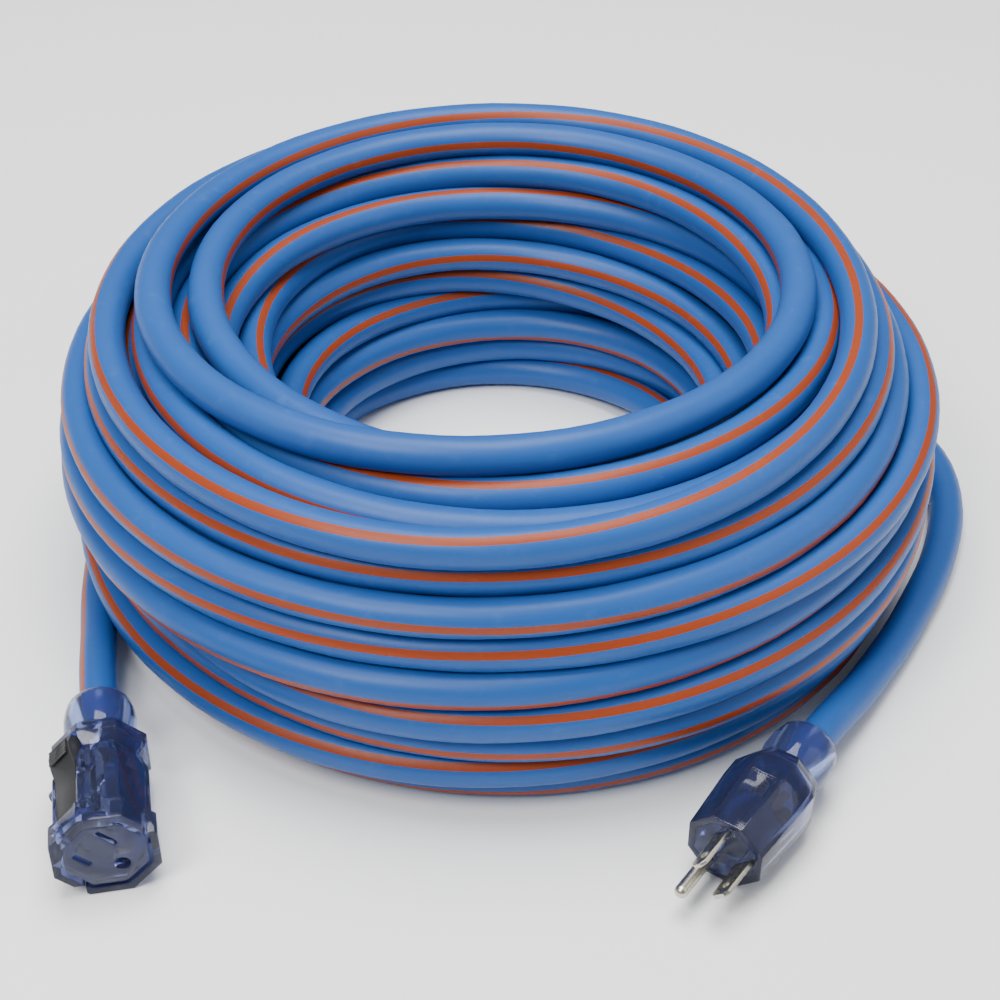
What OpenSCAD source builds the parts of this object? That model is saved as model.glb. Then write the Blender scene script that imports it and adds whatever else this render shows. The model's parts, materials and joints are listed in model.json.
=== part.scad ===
// Heavy-duty outdoor extension cord: a loose round coil, a three-prong plug and a locking connector.
// Millimetres, +Z up. The origin is on the floor at the centre of the coil; both ends point to -Y.
// Each end is drawn lying along +X from its cord entry, blades above and ground below, then placed.

/* [Cord] */
// Outer diameter of the jacket
cord_d = 14; // [12:0.5:15]
// Outer diameter of one insulated conductor
wire_d = 4.4; // [3.6:0.1:4.6]

/* [Coil] */
// Height of the coil
coil_h = 134; // [120:1:160]
// Outer radius on the floor
coil_foot_r = 160; // [155:1:164]
// Outer radius at the widest height
coil_belly_r = 173; // [165:1:175]
// Height at which the coil is widest
coil_belly_h = 66; // [50:1:80]
// Outer radius at the top
coil_top_r = 148; // [140:1:160]
// Radius of the eye on the floor
coil_eye_r = 76; // [60:1:90]
// Inner radius at the top
coil_mouth_r = 122; // [100:1:128]

/* [Contacts] */
// Distance between the two blade centres
blade_pitch = 12.7; // [12.6:0.1:12.8]
// Distance from the blades' centre line down to the ground pin
ground_drop = 11.9; // [11.8:0.1:12]
// Thickness of a blade
blade_t = 1.5; // [1.4:0.1:1.6]
// Width of the line blade
line_w = 6.4; // [6.2:0.1:6.6]
// Width of the neutral blade
neutral_w = 7.9; // [7.7:0.1:8.1]
// Length of the blades beyond the plug's face
blade_len = 17; // [16:0.5:18]
// Diameter of the ground pin
ground_d = 4.8; // [4.7:0.1:4.8]
// Length of the ground pin beyond the plug's face
ground_len = 21.4; // [21:0.1:22]

/* [Plug] */
// Length of the strain-relief collar
plug_collar_len = 20; // [16:1:24]
// Diameter of the collar where it meets the body
plug_collar_d = 25; // [23:0.5:26]
// Length of the moulded body
plug_len = 42; // [38:1:50]
// Width across the shoulders
plug_w = 31; // [29:0.5:34]
// Width across the face
plug_face_w = 28; // [27:0.5:30]
// Wall of the moulded body
plug_wall = 2.6; // [2:0.1:3]

/* [Connector] */
// Length of the strain-relief collar
conn_collar_len = 20; // [16:1:24]
// Diameter of the collar where it meets the body
conn_collar_d = 26; // [24:0.5:28]
// Length of the moulded body
conn_len = 52; // [49:1:60]
// Width of the body
conn_w = 33; // [32:0.5:36]
// Width across the front flange
conn_face_w = 36; // [34:0.5:39]
// Wall of the moulded body
conn_wall = 2.6; // [2:0.1:3]
// Thickness of the slotted face
face_t = 6; // [5:0.5:8]
// Diameter of the ground hole in the face
ground_hole_d = 5.4; // [5.2:0.1:5.8]

/* [Lock lever] */
// Width of the lever
lever_w = 11; // [9:0.5:12]
// Diameter of the pivot pin
lever_pin_d = 3; // [2.5:0.5:3.5]
// How far the lever turns when it is pressed, in degrees
lever_travel = 7; // [5:1:8]

/* [Hidden] */
$fn = 48;
fit_gap = 0.1;      // clearance between pieces that are assembled but don't move
run_gap = 0.05;     // radial clearance of the lever on its pin
cut = 1;            // how far a cutter runs past the face it opens
big = 60;           // half-size of the slabs that shape the octagonal bodies
tube_sides = 12;
wire_sides = 8;
lamp_d = 3.4;
lamp_len = 8;

// where the contacts stand, measured from the axis of either end
blade_z = 4.8;
ground_z = blade_z - ground_drop;
line_y = -blade_pitch / 2;
neutral_y = blade_pitch / 2;

// plug: places along its own axis
plug_total = plug_collar_len + plug_len;
plug_rear_wall = 3;
jacket_in = plug_collar_len + plug_rear_wall;
plug_crimp_x = jacket_in + 11;
crimp_len = 7;
crimp_d = wire_d + 1;
plug_bridge_len = 18;
plug_bridge_x = plug_total - plug_bridge_len;
plug_shoulder = 8;
plug_neck_w = 25;
pin_shank_d = ground_d - 1;     // the ground pin is thinner inside the plug, with a shoulder at the face
pin_relief = 0.5;   // depth of the ring that keeps the face clear of that shoulder
pin_relief_d = ground_d + 0.6;
plug_stations = [
    [plug_collar_len, plug_neck_w], [plug_collar_len + plug_shoulder, plug_w],
    [plug_collar_len + 2 * plug_shoulder, plug_w], [plug_total, plug_face_w]
];

// connector: places along its own axis
conn_total = conn_collar_len + conn_len;
conn_rear_wall = 3;
conn_jacket_in = conn_collar_len + conn_rear_wall;
conn_crimp_x = conn_jacket_in + 10;
contact_x = conn_crimp_x + crimp_len;
carrier_x = contact_x + 3;
face_x = conn_total - face_t;
carrier_len = face_x - carrier_x;
conn_shoulder = 4;
conn_waist_w = 27;
conn_neck_w = 27;
flange_len = 9;
conn_stations = [
    [conn_collar_len, conn_neck_w], [conn_collar_len + conn_shoulder, conn_w],
    [conn_collar_len + 2 * conn_shoulder, conn_w], [conn_collar_len + 3 * conn_shoulder, conn_waist_w],
    [carrier_x - 2, conn_w], [conn_total - flange_len - 2, conn_w],
    [conn_total - flange_len, conn_face_w], [conn_total, conn_face_w]
];
notch_side = 3.8;   // square bar that notches the flange between the blades and the ground hole
notch_z = -3.5;
slot_t = blade_t + 0.7;
slot_extra = 0.9;
leaf_t = 0.8;
leaf_gap = blade_t - 0.2;
contact_low_z = 0.8;
sleeve_t = 0.7;
sleeve_bore_d = ground_d - 0.1;

// lock lever: the pocket that it lies in and its own outline
pocket_z = 9.6;
pocket_x0 = conn_collar_len + conn_shoulder + 3;
pocket_x1 = face_x - 2;
pocket_w = lever_w + 1.2;
pivot_x = pocket_x0 + 19;
pivot_z = 13.4;
lever_tail_x = pocket_x0 + 1.2;
lever_nose_x = pocket_x1 - 1;
lever_top_z = conn_w / 2 + 2.5;
plate_x = lever_nose_x - 3.2;
plate_t = 1.2;
plate_w = blade_pitch + 4;
plate_low_z = blade_z + line_w / 2 + 0.4;
plate_wing_z = plate_low_z + 2;
nose_low_z = 12.4;
tail_low_z = pocket_z + (pivot_x - lever_tail_x) * sin(lever_travel) + 1.8;
chamber_top_z = pocket_z - 1.2;
carrier_top_z = plate_low_z - 0.6;
window_len = 7;
window_gap = 0.6;
window_top_z = plate_wing_z + (plate_x + plate_t - pivot_x) * sin(lever_travel) + window_gap;
pin_reach = 2.3;    // how far the pin enters the ear on each side of the pocket
ear_wall = 1.5;     // plastic left round the pin

// where the two ends lie
plug_at = [111, -147, plug_w / 2];
plug_heading = 235;
plug_roll = -45;
conn_at = [-145.5, -131, conn_face_w / 2];
conn_heading = 281;
conn_roll = 45;

// the cord between the coil and each end; the last point runs inside the collar
low = cord_d / 2;
plug_route = concat([
    [72, 135, low], [101, 120, low], [131, 102, low], [159, 80, low], [178, 58, low], [188, 35, low],
    [190, 12, low], [186, -11, low], [179, -33, low], [169, -54, low], [158, -75, low],
    [146, -95, low + 0.5], [134, -114, low + 2.5], [123, -130, low + 6]
], [plug_at, ahead(plug_at, plug_heading, jacket_in)]);
conn_route = concat([
    [-148, 40, low], [-156, 18, low], [-161, -5, low], [-162, -29, low], [-160, -53, low + 0.5],
    [-156, -76, low + 2.5], [-152, -98, low + 6.5], [-149, -115, low + 10]
], [conn_at, ahead(conn_at, conn_heading, conn_jacket_in)]);

function ahead(from, heading, far) = from + far * [cos(heading), sin(heading), 0];
function unit(v) = v / norm(v);
function tangent(pts, i) =
    unit(pts[min(i + 1, len(pts) - 1)] - pts[max(i - 1, 0)]);
function ring(centre, along, r, sides) =
    let (side = unit(cross(along, [0, 0, 1])), up = cross(side, along))
    [for (k = [0:sides - 1]) let (a = (k + 0.5) * 360 / sides)
        centre + r * (cos(a) * side + sin(a) * up)];

// a round tube through the points, one ring at each, with closed ends
module tube(pts, r, sides) {
    rings = len(pts);
    points = [for (i = [0:rings - 1]) each ring(pts[i], tangent(pts, i), r, sides)];
    walls = [for (i = [0:rings - 2], k = [0:sides - 1]) let (n = (k + 1) % sides)
        [i * sides + k, i * sides + n, (i + 1) * sides + n, (i + 1) * sides + k]];
    start = [[for (k = [sides - 1:-1:0]) k]];
    end = [[for (k = [0:sides - 1]) (rings - 1) * sides + k]];
    polyhedron(points, concat(start, walls, end), convexity = 6);
}

module place_plug() {
    translate(plug_at) rotate([0, 0, plug_heading]) rotate([plug_roll, 0, 0]) children();
}

module place_connector() {
    translate(conn_at) rotate([0, 0, conn_heading]) rotate([conn_roll, 0, 0]) children();
}

// a cylinder along +X from x
module bar_x(x, length, d) {
    translate([x, 0, 0]) rotate([0, 90, 0]) cylinder(h = length, d = d);
}

// a block along +X, centred on the axis across it
module block_x(x, length, width, height) {
    translate([x, -width / 2, -height / 2]) cube([length, width, height]);
}

// outline from stations [x, width], the same on both sides of the axis
module outline(stations) {
    n = len(stations);
    polygon(concat(
        [for (s = stations) [s[0], s[1] / 2]],
        [for (i = [n - 1:-1:0]) [stations[i][0], -stations[i][1] / 2]]
    ));
}

module slab(stations, angle) {
    rotate([angle, 0, 0]) translate([0, 0, -big]) linear_extrude(2 * big) outline(stations);
}

// an eight-sided body whose width follows the stations
module octagonal(stations) {
    intersection() {
        slab(stations, 0);
        slab(stations, 45);
        slab(stations, 90);
        slab(stations, 135);
    }
}

// round-shouldered collar, bored for the jacket
module collar(length, d) {
    bore_r = cord_d / 2 + fit_gap;
    rotate([0, 90, 0]) rotate_extrude() polygon([
        [bore_r, 0], [d / 2 - 2.6, 0], [d / 2 - 0.9, 0.12 * length], [d / 2, 0.35 * length],
        [d / 2, 0.65 * length], [d / 2 - 0.7, 0.85 * length], [d / 2 - 1.6, length],
        [bore_r, length]
    ]);
}

// one insulated conductor from the jacket's end to its crimp
module conductor(x0, x1, start, finish) {
    reach = x1 - x0;
    bend = [0, 0.06, 0.25, 0.5, 0.75, 0.94, 1];
    mix = [0, 0, 0.16, 0.5, 0.84, 1, 1];
    tube([for (i = [0:len(bend) - 1])
        [x0 + reach * bend[i], start[0] + (finish[0] - start[0]) * mix[i],
            start[1] + (finish[1] - start[1]) * mix[i]]], wire_d / 2, wire_sides);
}

// where the three conductors leave the jacket
wire_ring = wire_d / 2 / cos(30) + 0.15;
line_start = [-wire_ring * cos(30), wire_ring / 2];
neutral_start = [wire_ring * cos(30), wire_ring / 2];
ground_start = [0, -wire_ring];

module crimp(x, y, z) {
    translate([0, y, z]) bar_x(x, crimp_len, crimp_d);
}

// rod with one domed end, lying along +X
module domed_rod(x, y, z, d, length) {
    translate([x, y, z]) rotate([0, 90, 0]) rotate_extrude() {
        square([d / 2, length - d / 2]);
        intersection() {
            translate([0, length - d / 2]) circle(d = d);
            square([d, length]);
        }
    }
}

// series resistor with its two straight leads, lying along +X
module resistor(x, y, z) {
    translate([0, y, z]) {
        bar_x(x, 6, 2.2);
        bar_x(x - 2.5, 9.5, 0.6);
    }
}

// flat blade with a chamfered tip and a round hole near it
module blade(y, width) {
    x0 = plug_crimp_x + crimp_len;
    tip = plug_total + blade_len;
    bevel = 1.6;
    translate([0, y + blade_t / 2, blade_z]) rotate([90, 0, 0]) linear_extrude(blade_t)
        difference() {
            polygon([
                [x0, -width / 2], [tip - bevel, -width / 2], [tip, -width / 2 + bevel],
                [tip, width / 2 - bevel], [tip - bevel, width / 2], [x0, width / 2]
            ]);
            translate([tip - 5.2, 0]) circle(d = 3.2);
        }
}

// ---- cord ----

module cord_coil() {
    edge = cord_d / 2;
    color("cornflowerblue") rotate_extrude($fn = 96) polygon([
        [coil_eye_r, 0], [coil_foot_r, 0], [coil_foot_r + edge, edge],
        [coil_belly_r, coil_belly_h - 2 * edge], [coil_belly_r, coil_belly_h + edge],
        [coil_top_r + edge, coil_h - 2 * edge], [coil_top_r - edge, coil_h],
        [coil_mouth_r + edge, coil_h], [coil_mouth_r, coil_h - edge],
        [coil_eye_r, coil_belly_h - 2 * edge]
    ]);
}

module plug_tail() {
    color("cornflowerblue") tube(plug_route, cord_d / 2, tube_sides);
}

module connector_tail() {
    color("cornflowerblue") tube(conn_route, cord_d / 2, tube_sides);
}

// ---- plug ----

plug_inner = [for (s = plug_stations) [s[0], s[1] - 2 * plug_wall]];

module plug_chamber() {
    intersection() {
        octagonal(plug_inner);
        block_x(jacket_in, plug_total - jacket_in + cut, big, big);
    }
}

module plug_body() {
    grip_depth = 0.7;
    color("royalblue", 0.5) place_plug() difference() {
        octagonal(plug_stations);
        plug_chamber();
        bar_x(plug_collar_len - cut, plug_rear_wall + 2 * cut, cord_d + 2 * fit_gap);
        for (a = [45, 225]) rotate([a, 0, 0])
            translate([plug_collar_len + 2 * plug_shoulder, -4.5, plug_w / 2 - grip_depth])
                cube([16, 9, 4]);
    }
}

module plug_strain_relief() {
    color("royalblue", 0.6) place_plug() collar(plug_collar_len, plug_collar_d);
}

module plug_bridge() {
    side = plug_face_w - 2 * plug_wall;
    color("lightsteelblue", 0.7) place_plug() difference() {
        intersection() {
            octagonal(plug_inner);
            block_x(plug_bridge_x, plug_bridge_len, side, side);
        }
        for (b = [[line_y, line_w], [neutral_y, neutral_w]])
            translate([0, b[0], blade_z])
                block_x(plug_bridge_x - cut, plug_bridge_len + 2 * cut, blade_t, b[1]);
        translate([0, 0, ground_z])
            bar_x(plug_bridge_x - cut, plug_bridge_len + 2 * cut, pin_shank_d);
        translate([0, 0, ground_z]) bar_x(plug_total - pin_relief, pin_relief + cut, pin_relief_d);
    }
}

module line_blade() {
    color("goldenrod") place_plug() blade(line_y, line_w);
}

module neutral_blade() {
    color("silver") place_plug() blade(neutral_y, neutral_w);
}

module ground_pin() {
    x0 = plug_crimp_x + crimp_len;
    color("silver") place_plug() union() {
        translate([0, 0, ground_z]) bar_x(x0, plug_total - x0, pin_shank_d);
        domed_rod(plug_total, 0, ground_z, ground_d, ground_len);
    }
}

module plug_crimps() {
    color("silver") place_plug() {
        crimp(plug_crimp_x, line_y, blade_z);
        crimp(plug_crimp_x, neutral_y, blade_z);
        crimp(plug_crimp_x, 0, ground_z);
    }
}

module plug_line_wire() {
    color("dimgray") place_plug()
        conductor(jacket_in, plug_crimp_x, line_start, [line_y, blade_z]);
}

module plug_neutral_wire() {
    color("white") place_plug()
        conductor(jacket_in, plug_crimp_x, neutral_start, [neutral_y, blade_z]);
}

module plug_ground_wire() {
    color("seagreen") place_plug()
        conductor(jacket_in, plug_crimp_x, ground_start, [0, ground_z]);
}

module plug_lamp() {
    color("orange") place_plug() domed_rod(jacket_in + 10.5, 0, 9.6, lamp_d, lamp_len);
}

module plug_resistor() {
    color("tan") place_plug() resistor(plug_crimp_x + 2.5, 8.6, -3.2);
}

// ---- connector ----

conn_inner = [for (s = conn_stations) [s[0], s[1] - 2 * conn_wall]];
conn_side = conn_w - 2 * conn_wall;

// round ears that hold the pivot pin on each side of the pocket
module pin_ears() {
    ear_r = lever_pin_d / 2 + ear_wall;
    ear_len = pin_reach + 0.4;
    for (side = [-1, 1]) translate([pivot_x, side * (pocket_w + ear_len) / 2, 0]) {
        translate([0, ear_len / 2, pivot_z]) rotate([90, 0, 0]) cylinder(h = ear_len, r = ear_r);
        translate([-ear_r, -ear_len / 2, pocket_z]) cube([2 * ear_r, ear_len, pivot_z - pocket_z]);
    }
}

module connector_body() {
    color("royalblue", 0.5) place_connector() difference() {
        union() {
            octagonal(conn_stations);
            pin_ears();
        }
        intersection() {
            octagonal(conn_inner);
            translate([conn_jacket_in, -big / 2, -big / 2])
                cube([conn_total, big, big / 2 + chamber_top_z]);
        }
        translate([face_x, 0, 0]) intersection() {
            octagonal([[0, conn_side], [face_t + cut, conn_side]]);
            block_x(0, face_t + cut, big, big);
        }
        bar_x(conn_collar_len - cut, conn_rear_wall + 2 * cut, cord_d + 2 * fit_gap);
        for (side = [-1, 1]) translate([conn_total - flange_len - 2, side * conn_face_w / 2, notch_z])
            rotate([45, 0, 0]) block_x(0, flange_len + 2 + cut, notch_side, notch_side);
        translate([pocket_x0, -pocket_w / 2, pocket_z]) cube([pocket_x1 - pocket_x0, pocket_w, big]);
        translate([pocket_x1 - window_len, -plate_w / 2 - window_gap, chamber_top_z - cut])
            cube([window_len, plate_w + 2 * window_gap, window_top_z - chamber_top_z + cut]);
        translate([pivot_x, conn_w / 2, pivot_z]) rotate([90, 0, 0])
            cylinder(h = conn_w, d = lever_pin_d);
    }
}

module connector_strain_relief() {
    color("royalblue", 0.6) place_connector() collar(conn_collar_len, conn_collar_d);
}

module connector_face() {
    color("lightsteelblue", 0.8) place_connector() difference() {
        octagonal([[face_x, conn_side], [conn_total, conn_side]]);
        for (b = [[line_y, line_w], [neutral_y, neutral_w]])
            translate([0, b[0], blade_z])
                block_x(face_x - cut, face_t + 2 * cut, slot_t, b[1] + slot_extra);
        translate([0, 0, ground_z]) bar_x(face_x - cut, face_t + 2 * cut, ground_hole_d);
    }
}

module contact_carrier() {
    height = carrier_top_z + conn_side / 2;
    color("lightsteelblue", 0.8) place_connector() difference() {
        intersection() {
            octagonal([[carrier_x, conn_side], [carrier_x + carrier_len, conn_side]]);
            translate([carrier_x, -conn_side / 2, -conn_side / 2])
                cube([carrier_len, conn_side, height]);
        }
        for (y = [line_y, neutral_y])
            translate([carrier_x - cut, y - 2.4, contact_low_z]) cube([carrier_len + 2 * cut, 4.8, big]);
        translate([0, 0, ground_z]) bar_x(carrier_x - cut, carrier_len + 2 * cut,
            ground_d + 2 * sleeve_t + 2 * fit_gap);
    }
}

// two spring leaves joined at the back, open towards the face
module leaf_contact(y) {
    length = face_x - 2 - contact_x;
    half = leaf_gap / 2 + leaf_t;
    translate([contact_x, y, contact_low_z]) linear_extrude(carrier_top_z - contact_low_z) difference() {
        polygon([
            [0, -half], [length - 3, -half], [length, -half - 0.7], [length, half + 0.7],
            [length - 3, half], [0, half]
        ]);
        polygon([
            [3, -leaf_gap / 2], [length - 3, -leaf_gap / 2], [length + cut, -leaf_gap / 2 - 1],
            [length + cut, leaf_gap / 2 + 1], [length - 3, leaf_gap / 2], [3, leaf_gap / 2]
        ]);
    }
}

module line_contact() {
    color("goldenrod") place_connector() leaf_contact(line_y);
}

module neutral_contact() {
    color("silver") place_connector() leaf_contact(neutral_y);
}

module ground_contact() {
    length = face_x - contact_x;
    outer = sleeve_bore_d + 2 * sleeve_t;
    color("goldenrod") place_connector() translate([0, 0, ground_z]) difference() {
        bar_x(contact_x, length, outer);
        bar_x(contact_x + 3, length, sleeve_bore_d);
        translate([contact_x + 6, -0.5, -big / 2]) cube([length, 1, big / 2]);
    }
}

module connector_crimps() {
    color("silver") place_connector() {
        crimp(conn_crimp_x, line_y, blade_z);
        crimp(conn_crimp_x, neutral_y, blade_z);
        crimp(conn_crimp_x, 0, ground_z);
    }
}

module connector_line_wire() {
    color("dimgray") place_connector()
        conductor(conn_jacket_in, conn_crimp_x, line_start, [line_y, blade_z]);
}

module connector_neutral_wire() {
    color("white") place_connector()
        conductor(conn_jacket_in, conn_crimp_x, neutral_start, [neutral_y, blade_z]);
}

module connector_ground_wire() {
    color("seagreen") place_connector()
        conductor(conn_jacket_in, conn_crimp_x, ground_start, [0, ground_z]);
}

module connector_lamp() {
    color("orange") place_connector() domed_rod(conn_crimp_x - 1, -8.2, -3.4, lamp_d, lamp_len);
}

module connector_resistor() {
    color("tan") place_connector() resistor(conn_crimp_x + 2.5, 8.8, -3.6);
}

// ---- lock ----

// rocker: thumb pad behind the pivot, nose ahead of it
module lock_lever() {
    web = lever_pin_d / 2 + run_gap + 1.2;
    color([0.08, 0.08, 0.09]) place_connector()
        translate([0, lever_w / 2, 0]) rotate([90, 0, 0]) linear_extrude(lever_w) difference() {
            polygon([
                [lever_tail_x, tail_low_z], [lever_tail_x + 1, lever_top_z - 1.4],
                [lever_tail_x + 5, lever_top_z], [pivot_x - 8, lever_top_z - 1],
                [pivot_x - 3, pivot_z + web], [pivot_x + 4, pivot_z + web],
                [lever_nose_x, lever_top_z - 3.4], [lever_nose_x, nose_low_z],
                [pivot_x + 4, nose_low_z], [pivot_x + 1.5, pivot_z - web], [pivot_x - 1.5, pivot_z - web],
                [pivot_x - 5, nose_low_z], [lever_tail_x + 6, tail_low_z - 0.2]
            ]);
            translate([pivot_x, pivot_z]) circle(r = lever_pin_d / 2 + run_gap);
        }
}

// steel plate carried under the nose, whose lower edge bites the blades
module lock_plate() {
    color("silver") place_connector() translate([plate_x, 0, 0]) rotate([90, 0, 90])
        linear_extrude(plate_t) polygon([
            [-plate_w / 2, plate_low_z], [plate_w / 2, plate_low_z], [plate_w / 2, plate_wing_z],
            [lever_w / 2, plate_wing_z], [lever_w / 2, nose_low_z], [-lever_w / 2, nose_low_z],
            [-lever_w / 2, plate_wing_z], [-plate_w / 2, plate_wing_z]
        ]);
}

module lever_pin() {
    color("silver") place_connector() translate([pivot_x, pocket_w / 2 + pin_reach, pivot_z])
        rotate([90, 0, 0]) cylinder(h = pocket_w + 2 * pin_reach, d = lever_pin_d);
}

// bent leaf between the pocket's floor and the thumb pad
module lever_spring() {
    t = 0.4;
    x0 = pocket_x0 + 4;
    x1 = pivot_x - 5;
    color("silver") place_connector()
        translate([0, 3, 0]) rotate([90, 0, 0]) linear_extrude(6) polygon([
            [x1, pocket_z], [x1, pocket_z + t], [x0 + 5, pocket_z + t],
            [x0 + 1, tail_low_z - 0.4], [x0, tail_low_z - 0.4], [x0 + 4.4, pocket_z]
        ]);
}

cord_coil();
plug_tail();
connector_tail();
plug_body();
plug_strain_relief();
plug_bridge();
line_blade();
neutral_blade();
ground_pin();
plug_crimps();
plug_line_wire();
plug_neutral_wire();
plug_ground_wire();
plug_lamp();
plug_resistor();
connector_body();
connector_strain_relief();
connector_face();
contact_carrier();
line_contact();
neutral_contact();
ground_contact();
connector_crimps();
connector_line_wire();
connector_neutral_wire();
connector_ground_wire();
connector_lamp();
connector_resistor();
lock_lever();
lock_plate();
lever_pin();
lever_spring();
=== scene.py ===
import json
import math
import bmesh
import bpy
import numpy as np
from mathutils import Matrix, Vector


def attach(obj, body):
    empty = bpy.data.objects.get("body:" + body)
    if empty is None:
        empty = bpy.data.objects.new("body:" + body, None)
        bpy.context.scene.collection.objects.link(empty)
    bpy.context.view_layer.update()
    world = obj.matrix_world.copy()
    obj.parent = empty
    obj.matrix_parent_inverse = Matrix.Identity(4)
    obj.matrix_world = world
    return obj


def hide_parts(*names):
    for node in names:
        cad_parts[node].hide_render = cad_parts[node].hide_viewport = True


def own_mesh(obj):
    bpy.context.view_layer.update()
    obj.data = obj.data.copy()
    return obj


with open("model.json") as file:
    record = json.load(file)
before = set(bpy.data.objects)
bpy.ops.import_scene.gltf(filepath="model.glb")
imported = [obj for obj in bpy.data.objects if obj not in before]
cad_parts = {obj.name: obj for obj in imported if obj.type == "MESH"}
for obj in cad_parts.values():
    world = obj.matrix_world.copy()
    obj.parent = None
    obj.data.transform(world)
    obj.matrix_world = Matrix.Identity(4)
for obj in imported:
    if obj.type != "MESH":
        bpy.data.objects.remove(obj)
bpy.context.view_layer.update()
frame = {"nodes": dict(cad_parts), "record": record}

nodes = frame["nodes"]
scene = bpy.context.scene

cameraPlace = {"target": (0.0, 0.0, 0.0112), "distance": 0.798, "elevation": 38.0, "lens": 68.4}


def makeCamera(place):
    data = bpy.data.cameras.new("sceneCamera")
    data.lens = place["lens"]
    camera = bpy.data.objects.new("sceneCamera", data)
    scene.collection.objects.link(camera)
    tilt = math.radians(place["elevation"])
    back = Vector((0.0, -math.cos(tilt), math.sin(tilt)))
    camera.location = Vector(place["target"]) + back * place["distance"]
    camera.rotation_euler = (math.radians(90.0 - place["elevation"]), 0.0, 0.0)
    scene.camera = camera


makeCamera(cameraPlace)
print("camera done")

cordShape = {
    "diameter": 0.014,
    "length": 30.48,
    "spacing": 0.009,
    "columns": 24,
    "stripeWidth": 25.0,  # degrees round the jacket
    "layPitch": 0.13,  # how far apart the conductors' soft bulges are
    "layDepth": 0.010,
    "rollSeed": 5,
    "rollEvery": 0.85,  # metres of cord from one chosen place of the stripe to the next
    "innerRoll": (40, 215),  # degrees, on turns that face the eye
    "outerRoll": (-75, 100),
    "eyeSide": 0.024,  # a turn that is nearer the eye than this faces it
    "connectorRoll": (38.0, 0.9),  # where the stripe lies at each end, and for how many metres
    "plugRoll": (-125.0, 1.0),
    "mapStrips": 36,
    "mapGap": 0.02,  # share of a strip that is left free at each side of it
}
windingShape = {
    "innerTurns": [4, 4, 3, 3, 3, 3, 3, 2, 2, 0],  # turns in each row, the outermost one left out
    "rowHeight": 0.0133,
    "coilHeight": 0.134,
    "wallGap": 0.0035,  # from the eye's wall to the first turn
    "footInset": 0.006,  # the lowest row's inner turns stop this much further in
    "stagger": 0.003,  # every second outer turn lies this much further in
    "startRadius": 0.1533,  # where the winding meets each tail
    "endRadius": 0.1530,
    "startAngle": 164.9,
    "endAngle": 61.9,
    "shift": 0.0070,  # how far a turn's middle wanders
    "tilt": 0.0060,  # how much higher one side of a turn lies
    "oval": 0.0040,
    "stepStart": (0.1, 0.5),  # where in its turn the cord starts across to its next place
    "stepLong": 0.5,
    "topTurns": [(0.1145, 0.1245), (0.134, 0.1255)],  # radius and height of the two turns on top
    "topFrom": 0.120,  # the height above which a turn counts as one of those
    "topLean": 0.0010,  # how much higher those lie at the front
    "topBack": 0.0060,  # how far back their middle lies
    "eyeBack": 0.024,  # how far back the eye lies at the floor
    "eyeDepth": 0.08,  # from the outermost turns in to those at the eye
    "middleRadius": 0.137,
    "calmTurns": 0.4,  # this much of a turn at each end stays undisturbed
    "joinTurns": 0.35,  # and this much runs over to the tail's own radius
    "landTurns": 0.30,  # and at the last end to the floor
    "hump": 0.0146,  # how high the last turn rises where it crosses the connector's tail
    "humpSpan": (0.16, 0.15),  # in turns, before and after the crossing
    "humpSlope": 0.10,
    "seed": 11,
}
# the coil's own outline, height then radius
outerWall = [(0.0, 0.160), (0.007, 0.167), (0.052, 0.173), (0.073, 0.173), (0.120, 0.155), (0.134, 0.141)]
innerWall = [(0.0, 0.078), (0.052, 0.080), (0.110, 0.104), (0.134, 0.111)]
connectorEnd = {"at": (-0.1455, -0.131, 0.018), "heading": 281.0, "roll": 45.0, "jacketIn": 0.023}
plugEnd = {"at": (0.111, -0.147, 0.0155), "heading": 235.0, "roll": -45.0, "jacketIn": 0.023}
connectorRoute = [
    (-0.148, 0.040, 0.007), (-0.156, 0.018, 0.007), (-0.161, -0.005, 0.007), (-0.162, -0.029, 0.007),
    (-0.160, -0.053, 0.0075), (-0.156, -0.076, 0.0095), (-0.152, -0.098, 0.0135), (-0.149, -0.115, 0.017),
]
plugRoute = [
    (0.072, 0.135, 0.007), (0.101, 0.120, 0.007), (0.131, 0.102, 0.007), (0.159, 0.080, 0.007),
    (0.178, 0.058, 0.007), (0.188, 0.035, 0.007), (0.190, 0.012, 0.007), (0.186, -0.011, 0.007),
    (0.179, -0.033, 0.007), (0.169, -0.054, 0.007), (0.158, -0.075, 0.007), (0.146, -0.095, 0.0075),
    (0.134, -0.114, 0.0095), (0.123, -0.130, 0.013),
]


def ahead(end):
    a = math.radians(end["heading"])
    x, y, z = end["at"]
    return (x + end["jacketIn"] * math.cos(a), y + end["jacketIn"] * math.sin(a), z)


def smooth(x):
    x = np.clip(x, 0.0, 1.0)
    return x * x * (3.0 - 2.0 * x)


def wallAt(wall, z):
    return np.interp(z, [w[0] for w in wall], [w[1] for w in wall])


def turnSlots(shape, d):
    # inner rows from the floor up, then the outermost turns from the top down
    slots = []
    rows = len(shape["innerTurns"])
    for row, count in enumerate(shape["innerTurns"]):
        z = d / 2 + row * shape["rowHeight"]
        inside = float(wallAt(innerWall, z)) + d / 2 + shape["wallGap"]
        outside = float(wallAt(outerWall, z)) - 1.5 * d - (shape["footInset"] if row == 0 else 0.0)
        line = [inside + (outside - inside) * k / max(1, count - 1) for k in range(count)]
        if count == 0:
            slots += shape["topTurns"]
            continue
        if row % 2 == 0:
            line.reverse()
        slots += [(r, z) for r in line]
    for row in range(rows - 2, -1, -1):
        z = d / 2 + row * shape["rowHeight"]
        slots.append((float(wallAt(outerWall, z)) - d / 2 - (shape["stagger"] if row % 2 else 0.0), z))
    return slots


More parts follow.
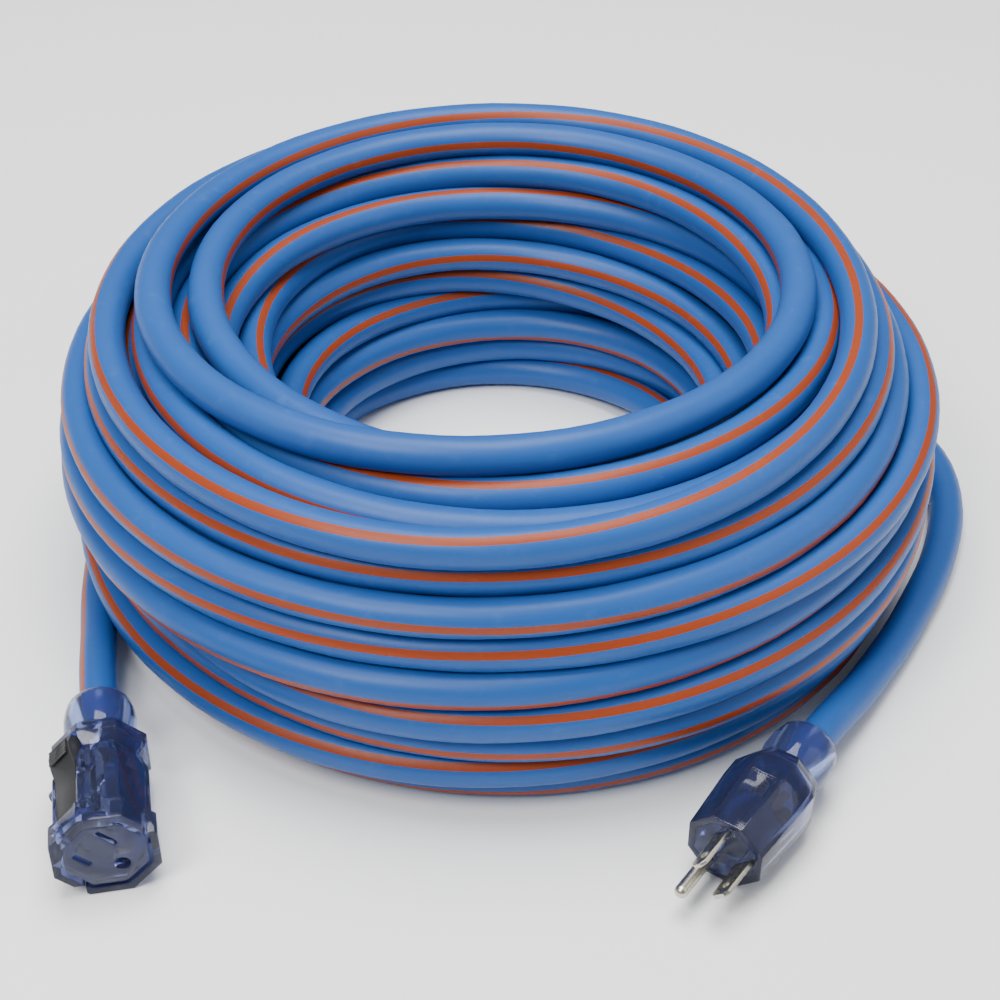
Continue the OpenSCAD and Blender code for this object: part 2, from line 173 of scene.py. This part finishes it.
def windCoil(shape, d, spacing):
    slots = turnSlots(shape, d)
    rng = np.random.default_rng(shape["seed"])
    count = len(slots)
    shift = rng.uniform(-1, 1, (count + 1, 2)) * shape["shift"]
    tilt = rng.uniform(-1, 1, (count + 1, 2)) * shape["tilt"]
    radii = np.array([slot[0] for slot in slots])
    heights = np.array([slot[1] for slot in slots])
    depth = np.clip((wallAt(outerWall, heights) - 0.5 * d - radii) / shape["eyeDepth"], 0, 1)  # 0 outside, 1 at the eye
    shift[:count, 1] += shape["eyeBack"] * depth * (1 - heights / shape["coilHeight"])
    top = heights > shape["topFrom"]
    tilt[:count][top] = (0.0, -shape["topLean"])
    shift[:count][top] = (0.0, shape["topBack"])
    oval = rng.uniform(-1, 1, (count + 1, 2)) * shape["oval"]
    step = rng.uniform(*shape["stepStart"], count + 1)
    whole = math.radians(shape["startAngle"] - shape["endAngle"]) / (2 * math.pi) + count - 1
    t = np.linspace(0.0, whole, int(whole * 2 * math.pi * shape["middleRadius"] / spacing))
    turn = np.minimum(t.astype(int), count - 1)
    after = np.minimum(turn + 1, count - 1)
    mix = smooth((t - turn - step[turn]) / shape["stepLong"])
    r = radii[turn] * (1 - mix) + radii[after] * mix
    z = heights[turn] * (1 - mix) + heights[after] * mix
    even = smooth(t - turn)[:, None]
    offset = shift[turn] * (1 - even) + shift[turn + 1] * even
    lean = tilt[turn] * (1 - even) + tilt[turn + 1] * even
    squeeze = oval[turn] * (1 - even) + oval[turn + 1] * even
    calm = shape["calmTurns"]
    ends = smooth(t / calm) * smooth((whole - t) / calm)  # both ends meet the tails undisturbed
    angle = math.radians(shape["startAngle"]) - 2 * math.pi * t
    r = r + ends * (squeeze[:, 0] * np.cos(2 * angle) + squeeze[:, 1] * np.sin(2 * angle))
    z = z + ends * (lean[:, 0] * np.cos(angle) + lean[:, 1] * np.sin(angle))
    first, last = shape["startRadius"], shape["endRadius"]
    r = first + (r - first) * smooth(t / shape["joinTurns"])
    r = last + (r - last) * smooth((whole - t) / shape["joinTurns"])
    z = d / 2 + (z - d / 2) * smooth((whole - t) / shape["landTurns"])
    over = count - 1  # here the last turn is above the place where the first one starts
    before, past = shape["humpSpan"]
    slope = shape["humpSlope"]
    z = z + shape["hump"] * smooth((t - over + before) / slope) * smooth((over + past - t) / slope)
    x = r * np.cos(angle) + ends * offset[:, 0]
    y = r * np.sin(angle) + ends * offset[:, 1]
    return np.stack([x, y, z], axis=1)


def evenLine(points, spacing):
    far = np.concatenate([[0], np.cumsum(np.linalg.norm(np.diff(points, axis=0), axis=1))])
    marks = np.linspace(0, far[-1], max(2, int(round(far[-1] / spacing))) + 1)
    return np.stack([np.interp(marks, far, points[:, k]) for k in range(3)], axis=1)


def curveThrough(points, steps=12):
    p = np.array(points)
    p = np.vstack([2 * p[0] - p[1], p, 2 * p[-1] - p[-2]])
    out = []
    for i in range(1, len(p) - 2):
        u = np.linspace(0, 1, steps, endpoint=False)[:, None]
        a, b, c, e = p[i - 1], p[i], p[i + 1], p[i + 2]
        bend = (2 * a - 5 * b + 4 * c - e) * u ** 2
        out.append(0.5 * (2 * b + (c - a) * u + bend + (3 * b - a - 3 * c + e) * u ** 3))
    return np.vstack(out + [p[-2][None]])


def nearPairs(p, reach, skip):
    square = (p * p).sum(axis=1)
    apart = square[:, None] + square[None, :] - 2 * p @ p.T
    a, b = np.nonzero(np.triu(apart < reach * reach, skip))
    return a, b


def blur(values, width):
    kernel = np.ones(2 * width + 1) / (2 * width + 1)
    padded = np.pad(values, ((width, width), (0, 0)), mode="edge")
    return np.stack([np.convolve(padded[:, k], kernel, mode="valid") for k in range(3)], axis=1)


settleShape = {
    "rounds": 600,
    "searchEvery": 12,  # rounds between two searches for neighbours
    "searchWithin": 1.7,  # diameters
    "skip": 8,  # rings this near along the cord don't push each other
    "force": 1.5,
    "share": 0.25,  # how much of its shift a ring takes from the rings beside it
    "shareRings": 3,
    "sink": 0.000020,  # how far the top of the coil sinks in a round
    "ceiling": 0.1285,  # the highest that a turn's middle may lie
    "slack": 0.003,  # how far a turn may pass the coil's outline
    "fadeRings": 12,  # the tails don't move, and the coil's ends start to over this many rings
    "softenings": 3,
}


def settleCoil(points, free, d, shape):
    # in each round turns that overlap are moved apart, all sink a little, and none leaves the outline
    rest = points.copy()
    p = points.copy()
    count = len(p)
    tall, slack, share = windingShape["coilHeight"], shape["slack"], shape["share"]
    for step in range(shape["rounds"]):
        if step % shape["searchEvery"] == 0:
            a, b = nearPairs(p, shape["searchWithin"] * d, shape["skip"])
        away = p[a] - p[b]
        far = np.linalg.norm(away, axis=1) + 1e-9
        lack = np.clip(d - far, 0, None)
        push = away * (0.5 * lack / far)[:, None]
        touching = (lack > 0).astype(float)
        hits = np.bincount(a, touching, count) + np.bincount(b, touching, count)
        sums = [np.bincount(a, push[:, k], count) - np.bincount(b, push[:, k], count) for k in range(3)]
        move = np.stack(sums, axis=1)
        move *= (shape["force"] / np.maximum(1.0, hits))[:, None]
        move[:, 2] -= shape["sink"] * p[:, 2] / tall
        p = p + move * free[:, None]
        given = p - rest
        p = rest + ((1 - share) * given + share * blur(given, shape["shareRings"])) * free[:, None]
        p[:, 2] = np.where(free > 0.5, np.clip(p[:, 2], d / 2, shape["ceiling"]), p[:, 2])
        r = np.hypot(p[:, 0], p[:, 1])
        limit = wallAt(outerWall, p[:, 2]) - d / 2 + slack
        factor = np.where(free > 0.5, np.minimum(1.0, limit / r), 1.0)
        p[:, :2] *= factor[:, None]
        back = windingShape["eyeBack"] * (1 - p[:, 2] / tall)
        r = np.hypot(p[:, 0], p[:, 1] - back)
        limit = wallAt(innerWall, p[:, 2]) + d / 2 - slack
        factor = np.where(free > 0.5, np.maximum(1.0, limit / r), 1.0)
        p[:, 0] *= factor
        p[:, 1] = back + (p[:, 1] - back) * factor
    away = p[a] - p[b]
    far = np.linalg.norm(away, axis=1)
    print("coil settled, deepest overlap %.1f mm, pairs over 2 mm: %d of %d" % (
        1000 * max(0.0, d - far.min()), int((far < d - 0.002).sum()), len(far)))
    return p


def cordLine():
    d, spacing = cordShape["diameter"], cordShape["spacing"]
    tailA = evenLine(curveThrough((connectorRoute + [connectorEnd["at"], ahead(connectorEnd)])[::-1]), spacing)
    tailB = evenLine(curveThrough(plugRoute + [plugEnd["at"], ahead(plugEnd)]), spacing)
    coil = evenLine(windCoil(windingShape, d, spacing), spacing)[1:-1]
    line = np.vstack([tailA, coil, tailB])
    free = np.zeros(len(line))
    reach = np.arange(len(coil))
    fade = settleShape["fadeRings"]
    free[len(tailA):len(tailA) + len(coil)] = smooth(reach / fade) * smooth((len(coil) - 1 - reach) / fade)
    line = settleCoil(line, free, d, settleShape)
    for _ in range(settleShape["softenings"]):
        line[1:-1] = 0.25 * line[:-2] + 0.5 * line[1:-1] + 0.25 * line[2:]
    line = evenLine(line, spacing)
    long = float(np.linalg.norm(np.diff(line, axis=0), axis=1).sum())
    print("cord is %.2f m long in %d rings, %d turns" % (long, len(line), len(turnSlots(windingShape, d))))
    return line


def tubeMesh(line, shape, name):
    count, columns = len(line), shape["columns"]
    along = np.gradient(line, axis=0)
    along /= np.linalg.norm(along, axis=1)[:, None]
    out = np.stack([-along[:, 1], along[:, 0], np.zeros(count)], axis=1)
    out /= np.linalg.norm(out, axis=1)[:, None]
    up = np.cross(along, out)
    far = np.arange(count) * shape["spacing"]
    rng = np.random.default_rng(shape["rollSeed"])
    places = np.arange(int(far[-1] / shape["rollEvery"]) + 3) * shape["rollEvery"]
    reach = np.interp(places, far, np.hypot(line[:, 0], line[:, 1]))
    eye = np.interp(places, far, wallAt(innerWall, line[:, 2]))
    inner = rng.uniform(*shape["innerRoll"], len(places))
    outer = rng.uniform(*shape["outerRoll"], len(places))
    knots = np.where(reach < eye + shape["eyeSide"], inner, outer)
    held, long = shape["connectorRoll"]
    knots[places < long] = held
    held, long = shape["plugRoll"]
    knots[places > far[-1] - long] = held
    roll = np.radians(np.interp(far, places, knots))
    wide = math.radians(shape["stripeWidth"])
    angles = np.concatenate([[-wide / 2], np.linspace(wide / 2, 2 * math.pi - wide / 2, columns)[:-1]])
    turned = angles[None, :] + roll[:, None]
    lay = np.cos(3 * (turned - 2 * math.pi * far[:, None] / shape["layPitch"]))  # three conductors inside
    radius = shape["diameter"] / 2 * (1 + shape["layDepth"] * lay)
    spoke = np.cos(turned)[..., None] * out[:, None, :] + np.sin(turned)[..., None] * up[:, None, :]
    verts = (line[:, None, :] + radius[..., None] * spoke).reshape(-1, 3)
    i = np.repeat(np.arange(count - 1), columns)
    k = np.tile(np.arange(columns), count - 1)
    n = (k + 1) % columns
    quads = np.stack([i * columns + k, i * columns + n, (i + 1) * columns + n, (i + 1) * columns + k], axis=1)
    faces = [tuple(q) for q in quads.tolist()]
    faces.append(tuple(range(columns))[::-1])
    faces.append(tuple(range((count - 1) * columns, count * columns)))
    mesh = bpy.data.meshes.new(name)
    mesh.from_pydata(verts.tolist(), [], faces)
    mesh.polygons.foreach_set("use_smooth", [True] * len(faces))
    mesh.polygons.foreach_set("material_index", [1 if c == 0 else 0 for c in k.tolist()] + [0, 0])
    # unrolled in strips, one above another, so that the jacket keeps a layout of its own
    strips, gap = shape["mapStrips"], shape["mapGap"]
    each = math.ceil((count - 1) / strips)
    strip = i // each
    u0, u1 = (i % each) / each, (i % each + 1) / each
    v0 = (strip + gap + (1 - 2 * gap) * k / columns) / strips
    v1 = (strip + gap + (1 - 2 * gap) * (k + 1) / columns) / strips
    uv = np.stack([u0, v0, u0, v1, u1, v1, u1, v0], axis=1).reshape(-1)
    layer = mesh.uv_layers.new(name="OFBake")
    layer.data.foreach_set("uv", np.concatenate([uv, np.zeros(4 * columns)]).tolist())
    # one face tells whether the whole tube has to be turned outwards
    face = mesh.polygons[0]
    if face.normal.dot(face.center - Vector(line[0])) < 0:
        mesh.flip_normals()
    return mesh


line = cordLine()
cord = bpy.data.objects.new("jacketCord", tubeMesh(line, cordShape, "jacketCord"))
scene.collection.objects.link(cord)
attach(cord, "cord_set")
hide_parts("cord_coil", "plug_tail", "connector_tail")
print("cord done")


class Value:
    # a socket that a sum can hold, with another one or a number on either side
    def __init__(self, build, socket):
        self.build = build
        self.socket = socket

    def compute(self, operation, a, b):
        return self.build.add("ShaderNodeMath", {"operation": operation}, {0: a, 1: b})

    def __add__(self, other):
        return self.compute("ADD", self, other)

    __radd__ = __add__

    def __sub__(self, other):
        return self.compute("SUBTRACT", self, other)

    def __rsub__(self, other):
        return self.compute("SUBTRACT", other, self)

    def __mul__(self, other):
        return self.compute("MULTIPLY", self, other)

    __rmul__ = __mul__


class Finish:
    def __init__(self, name, constants):
        self.material = bpy.data.materials.new(name)
        self.material.use_nodes = True
        self.tree = self.material.node_tree
        self.tree.nodes.clear()
        self.shader = self.tree.nodes.new("ShaderNodeBsdfPrincipled")
        output = self.tree.nodes.new("ShaderNodeOutputMaterial")
        self.tree.links.new(self.shader.outputs[0], output.inputs[0])
        for key, value in constants.items():
            self.shader.inputs[key].default_value = value
        self.place = self.add("ShaderNodeTexCoord", {}, {}, "Object")

    def put(self, socket, value):
        if isinstance(value, Value):
            self.tree.links.new(value.socket, socket)
        else:
            socket.default_value = value

    def add(self, kind, settings, values, output=0):
        node = self.tree.nodes.new(kind)
        for key, value in settings.items():
            if key == "stops":
                ramp = node.color_ramp.elements
                while len(ramp) < len(value):
                    ramp.new(0.5)
                for stop, (place, colour) in zip(ramp, value):
                    stop.position, stop.color = place, colour
            else:
                setattr(node, key, value)
        for key, value in values.items():
            self.put(node.inputs[key], value)
        return Value(self, node.outputs[output])

    def noise(self, scale, detail=3.0, rough=0.5):
        values = {"Vector": self.place, "Scale": scale, "Detail": detail, "Roughness": rough}
        return self.add("ShaderNodeTexNoise", {}, values)

    def mask(self, value, low, high):
        return self.add("ShaderNodeMapRange", {}, {"Value": value, "From Min": low, "From Max": high})

    def blend(self, factor, a, b):
        node = self.tree.nodes.new("ShaderNodeMix")
        node.data_type = "RGBA"
        self.put(node.inputs[0], factor)
        self.put(node.inputs[6], a)
        self.put(node.inputs[7], b)
        return Value(self, node.outputs[2])

    def set(self, key, value):
        self.put(self.shader.inputs[key], value)

    def bump(self, height, strength, far):
        self.set("Normal", self.add("ShaderNodeBump", {}, {"Height": height, "Strength": strength, "Distance": far}))


# what every finish below shares: detail and roughness of the noises, and how they are mixed
grainShape = {
    "broad": (3.0, 0.5), "fine": (4.0, 0.6), "worn": (5.0, 0.65), "wornScale": 0.35,
    "wornFrom": 0.58, "wornTo": 0.74, "wornDulls": 0.12, "fineBump": 0.7, "broadBump": 0.3,
}


def plastic(name, look):
    f = Finish(name, look.get("constants", {}))
    grain = grainShape
    broad = f.noise(look["broad"], *grain["broad"])
    fine = f.noise(look["fine"], *grain["fine"])
    wear = f.mask(f.noise(look["fine"] * grain["wornScale"], *grain["worn"]), grain["wornFrom"], grain["wornTo"])
    base = f.blend(broad, look["dark"], look["light"])
    f.set("Base Color", f.blend(wear * look["wear"], base, look["scuff"]))
    f.set("Roughness", fine * look["roughSpan"] + wear * grain["wornDulls"] + look["rough"])
    f.bump(fine * grain["fineBump"] + broad * grain["broadBump"], look["bump"], look["depth"])
    return f.material


jacketLook = {
    "dark": (0.012, 0.068, 0.255, 1), "light": (0.020, 0.098, 0.335, 1), "scuff": (0.07, 0.17, 0.40, 1), "wear": 0.18,
    "broad": 9.0, "fine": 420.0, "rough": 0.36, "roughSpan": 0.12, "bump": 0.22, "depth": 0.0003,
    "constants": {"Specular IOR Level": 0.26},
}
stripeLook = dict(jacketLook, dark=(0.22, 0.033, 0.007, 1), light=(0.29, 0.046, 0.010, 1), scuff=(0.32, 0.10, 0.04, 1))
clearLook = {
    "dark": (0.125, 0.150, 0.34, 1), "light": (0.175, 0.205, 0.42, 1), "scuff": (0.28, 0.32, 0.54, 1), "wear": 0.4,
    "broad": 45.0, "fine": 300.0, "rough": 0.04, "roughSpan": 0.10, "bump": 0.10, "depth": 0.0002,
    "constants": {"Transmission Weight": 0.94, "IOR": 1.30, "Coat Weight": 0.15, "Coat Roughness": 0.06},
}
carrierLook = dict(
    clearLook, dark=(0.34, 0.39, 0.62, 1), light=(0.44, 0.49, 0.70, 1), rough=0.05,
    constants={"Transmission Weight": 0.93, "IOR": 1.22},
)
faceLook = dict(clearLook, rough=0.06, constants={"Transmission Weight": 0.90, "IOR": 1.30, "Coat Weight": 0.2})
collarLook = dict(clearLook, dark=(0.23, 0.30, 0.60, 1), light=(0.30, 0.38, 0.68, 1))
nickelLook = {
    "dark": (0.40, 0.38, 0.31, 1), "light": (0.56, 0.53, 0.44, 1), "scuff": (0.22, 0.20, 0.16, 1), "wear": 0.5,
    "broad": 60.0, "fine": 700.0, "rough": 0.20, "roughSpan": 0.18, "bump": 0.12, "depth": 0.0001,
    "constants": {"Metallic": 1.0},
}
brassLook = dict(nickelLook, dark=(0.52, 0.34, 0.12, 1), light=(0.72, 0.50, 0.20, 1), scuff=(0.28, 0.17, 0.07, 1))
steelLook = dict(nickelLook, dark=(0.36, 0.36, 0.37, 1), light=(0.50, 0.50, 0.51, 1))
nylonLook = {
    "dark": (0.010, 0.010, 0.011, 1), "light": (0.018, 0.018, 0.020, 1), "scuff": (0.08, 0.08, 0.085, 1), "wear": 0.35,
    "broad": 40.0, "fine": 900.0, "rough": 0.40, "roughSpan": 0.18, "bump": 0.30, "depth": 0.0002, "constants": {},
}


def tinted(dark, light, **changes):
    return dict(nylonLook, dark=dark, light=light, scuff=light, **changes)


finishes = {
    "jacket": plastic("jacketBlue", jacketLook),
    "stripe": plastic("stripeOrange", stripeLook),
    "clear_blue": plastic("clearBlue", clearLook),
    "carrier_plastic": plastic("carrierBlue", carrierLook),
    "face": plastic("faceBlue", faceLook),
    "collar": plastic("collarBlue", collarLook),
    "nickel_plate": plastic("nickelPlate", nickelLook),
    "contact_brass": plastic("contactBrass", brassLook),
    "spring_steel": plastic("springSteel", steelLook),
    "black_nylon": plastic("blackNylon", nylonLook),
    "line_insulation": plastic("lineInsulation", tinted((0.012, 0.012, 0.012, 1), (0.03, 0.03, 0.03, 1))),
    "neutral_insulation": plastic("neutralInsulation", tinted((0.62, 0.62, 0.58, 1), (0.78, 0.78, 0.74, 1))),
    "ground_insulation": plastic("groundInsulation", tinted((0.02, 0.20, 0.07, 1), (0.04, 0.30, 0.11, 1))),
    "lamp_glass": plastic("lampGlass", tinted((0.80, 0.30, 0.08, 1), (0.95, 0.48, 0.16, 1), constants={"Alpha": 0.7})),
    "resistor_body": plastic("resistorBody", tinted((0.42, 0.30, 0.16, 1), (0.55, 0.42, 0.24, 1))),
}
cord.data.materials.append(finishes["jacket"])
cord.data.materials.append(finishes["stripe"])


def finishNode(name, finish):
    slots = nodes[name].material_slots
    if len(slots):
        for slot in slots:
            slot.material = finish
    else:
        nodes[name].data.materials.append(finish)


for part in frame["record"]["subparts"]:
    finishNode(part["node"], finishes[part["material_slot"]])
ownFinish = {"connector_face": "face", "plug_strain_relief": "collar", "connector_strain_relief": "collar"}
for part, finish in ownFinish.items():
    finishNode(part, finishes[finish])
print("materials done")

# each piece's name, how wide its edges are rounded, and in how many steps
roundedPieces = {
    "plug_body": ("plugShell", 0.0009, 3), "plug_strain_relief": ("plugCollar", 0.0006, 3),
    "connector_body": ("connectorShell", 0.0007, 3), "connector_strain_relief": ("connectorCollar", 0.0006, 3),
    "connector_face": ("connectorFront", 0.0004, 2), "contact_carrier": ("contactBlock", 0.0005, 2),
    "plug_bridge": ("bladeBlock", 0.0005, 2), "line_blade": ("lineBlade", 0.00025, 2),
    "neutral_blade": ("neutralBlade", 0.00025, 2), "lock_lever": ("lockRocker", 0.0007, 3),
    "lock_plate": ("bitePlate", 0.00015, 2), "lever_spring": ("returnSpring", 0.00006, 2),
}
seatedPieces = ("plug_bridge", "contact_carrier", "connector_face")  # each fills a shell, face to face
edgeShape = {
    "weld": 0.000002,
    "flat": 1.0,  # degrees, under which two faces are one
    "bevelFrom": 28,
    "sharpFrom": 32,
    "seatGap": 0.00006,  # how much smaller a seated piece is
}


def roundedCopy(node, name, width, segments):
    source = nodes[node]
    mesh = source.data.copy()
    mesh.name = name
    work = bmesh.new()
    work.from_mesh(mesh)
    bmesh.ops.remove_doubles(work, verts=work.verts, dist=edgeShape["weld"])
    flat = math.radians(edgeShape["flat"])
    bmesh.ops.dissolve_limit(work, angle_limit=flat, verts=work.verts, edges=work.edges)
    work.to_mesh(mesh)
    work.free()
    rough = bpy.data.objects.new(name + "Rough", mesh)
    scene.collection.objects.link(rough)
    if node in seatedPieces:
        gap = rough.modifiers.new("seatGap", "DISPLACE")
        gap.mid_level, gap.strength = 0.0, -edgeShape["seatGap"]
    bevel = rough.modifiers.new("softEdges", "BEVEL")
    bevel.width, bevel.segments = width, segments
    bevel.limit_method, bevel.angle_limit = "ANGLE", math.radians(edgeShape["bevelFrom"])
    bevel.use_clamp_overlap = True
    done = bpy.data.meshes.new_from_object(rough.evaluated_get(bpy.context.evaluated_depsgraph_get()))
    bpy.data.objects.remove(rough)
    done.name = name
    piece = bpy.data.objects.new(name, done)
    scene.collection.objects.link(piece)
    done.shade_smooth()
    done.set_sharp_from_angle(angle=math.radians(edgeShape["sharpFrom"]))
    return piece


pieceOf = {}
bodyOf = {n: body for body, names in frame["record"]["behaviour"]["bodies"].items() for n in names}
slotOf = {part["node"]: part["material_slot"] for part in frame["record"]["subparts"]}
for node, (name, width, segments) in roundedPieces.items():
    piece = roundedCopy(node, name, width, segments)
    piece.data.materials.clear()
    piece.data.materials.append(finishes[ownFinish.get(node, slotOf[node])])
    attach(piece, bodyOf[node])
    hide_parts(node)
    pieceOf[node] = piece
print("rounded pieces done")


def endMatrix(end):
    turned = Matrix.Rotation(math.radians(end["heading"]), 4, "Z") @ Matrix.Rotation(math.radians(end["roll"]), 4, "X")
    return Matrix.Translation(end["at"]) @ turned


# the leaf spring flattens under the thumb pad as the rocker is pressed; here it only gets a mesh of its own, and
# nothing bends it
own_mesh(pieceOf["lever_spring"])
print("spring done")

ridgeShape = {
    "first": (0.0315, 0.0, 0.0190), "count": 5, "pitch": 0.0014,
    "width": 0.0088, "height": 0.0006, "thick": 0.0006, "sides": 16,
}


def ridgeTree(sides):
    tree = bpy.data.node_groups.new("thumbRidges", "GeometryNodeTree")
    face = tree.interface
    face.new_socket("Geometry", in_out="OUTPUT", socket_type="NodeSocketGeometry")
    sockets = {"Count": face.new_socket("Count", in_out="INPUT", socket_type="NodeSocketInt")}
    for label in ("Pitch", "Width", "Height", "Thickness"):
        sockets[label] = face.new_socket(label, in_out="INPUT", socket_type="NodeSocketFloat")
    sockets["Finish"] = face.new_socket("Finish", in_out="INPUT", socket_type="NodeSocketMaterial")
    add, link = tree.nodes.new, tree.links.new
    given, result = add("NodeGroupInput"), add("NodeGroupOutput")
    row, bar = add("GeometryNodeMeshLine"), add("GeometryNodeMeshCylinder")
    size, step = add("ShaderNodeCombineXYZ"), add("ShaderNodeCombineXYZ")
    turn, put = add("GeometryNodeTransform"), add("GeometryNodeInstanceOnPoints")
    real, paint = add("GeometryNodeRealizeInstances"), add("GeometryNodeSetMaterial")
    bar.inputs["Vertices"].default_value = sides
    link(given.outputs["Count"], row.inputs["Count"])
    link(given.outputs["Pitch"], step.inputs["X"])
    link(step.outputs[0], row.inputs["Offset"])
    link(given.outputs["Thickness"], bar.inputs["Radius"])
    link(given.outputs["Width"], bar.inputs["Depth"])
    link(bar.outputs["Mesh"], turn.inputs["Geometry"])
    turn.inputs["Rotation"].default_value = (math.radians(90), 0, 0)
    size.inputs["X"].default_value = 1.0
    size.inputs["Y"].default_value = 1.0
    link(given.outputs["Height"], size.inputs["Z"])
    link(size.outputs[0], turn.inputs["Scale"])
    link(row.outputs["Mesh"], put.inputs["Points"])
    link(turn.outputs["Geometry"], put.inputs["Instance"])
    link(put.outputs["Instances"], real.inputs["Geometry"])
    link(real.outputs["Geometry"], paint.inputs["Geometry"])
    link(given.outputs["Finish"], paint.inputs["Material"])
    link(paint.outputs["Geometry"], result.inputs["Geometry"])
    return tree, {label: socket.identifier for label, socket in sockets.items()}


def thumbRidges(shape):
    tree, key = ridgeTree(shape["sides"])
    host = bpy.data.objects.new("ridgeHost", bpy.data.meshes.new("ridgeHost"))
    scene.collection.objects.link(host)
    grow = host.modifiers.new("ridges", "NODES")
    grow.node_group = tree
    grow[key["Count"]] = shape["count"]
    grow[key["Pitch"]] = shape["pitch"]
    grow[key["Width"]] = shape["width"]
    grow[key["Height"]] = shape["height"] / shape["thick"]
    grow[key["Thickness"]] = shape["thick"]
    grow[key["Finish"]] = finishes["black_nylon"]
    mesh = bpy.data.meshes.new_from_object(host.evaluated_get(bpy.context.evaluated_depsgraph_get()))
    bpy.data.objects.remove(host)
    mesh.transform(endMatrix(connectorEnd) @ Matrix.Translation(shape["first"]))
    mesh.name = "thumbRidges"
    ridges = bpy.data.objects.new("thumbRidges", mesh)
    scene.collection.objects.link(ridges)
    mesh.shade_smooth()
    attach(ridges, "lever")


thumbRidges(ridgeShape)
print("ridges done")

roomShape = {
    "floor": (0.93, 0.93, 0.92, 1), "patches": 3.0, "patchShade": 0.96, "rough": 0.65, "reach": 4, "below": 0.0004,
    "skyColour": (0.93, 0.96, 1.0, 1), "sky": 0.34,
}
roomLights = {
    "keyLight": ((-0.7, -0.9, 1.5), 0.7, 28.0),  # place, width and power
    "fillLight": ((1.3, -0.4, 0.9), 1.2, 6.0),
    "topLight": ((0.0, 0.15, 1.7), 1.1, 46.0),
}


def makeFloor():
    mesh = bpy.data.meshes.new("studioFloor")
    reach, low = roomShape["reach"], -roomShape["below"]
    corners = [(x * reach, y * reach, low) for x, y in ((-1, -1), (1, -1), (1, 1), (-1, 1))]
    mesh.from_pydata(corners, [], [(0, 1, 2, 3)])
    floor = bpy.data.objects.new("studioFloor", mesh)
    scene.collection.objects.link(floor)
    f = Finish("studioFloor", {"Roughness": roomShape["rough"]})
    darker = tuple(roomShape["patchShade"] * c for c in roomShape["floor"][:3]) + (1,)
    f.set("Base Color", f.blend(f.noise(roomShape["patches"]), roomShape["floor"], darker))
    mesh.materials.append(f.material)


def areaLight(name, place, size, power):
    data = bpy.data.lights.new(name, "AREA")
    data.size, data.energy = size, power
    lamp = bpy.data.objects.new(name, data)
    lamp.location = place
    lamp.rotation_euler = (-Vector(place)).to_track_quat("-Z", "Y").to_euler()
    scene.collection.objects.link(lamp)


makeFloor()
for name, (place, size, power) in roomLights.items():
    areaLight(name, place, size, power)
world = bpy.data.worlds.new("studioSky")
world.use_nodes = True
world.node_tree.nodes["Background"].inputs[0].default_value = roomShape["skyColour"]
world.node_tree.nodes["Background"].inputs[1].default_value = roomShape["sky"]
scene.world = world
print("room done")

plugNodes = [n for n in nodes if n.startswith("plug_") and n != "plug_tail"]
plugNodes += ["line_blade", "neutral_blade", "ground_pin"]
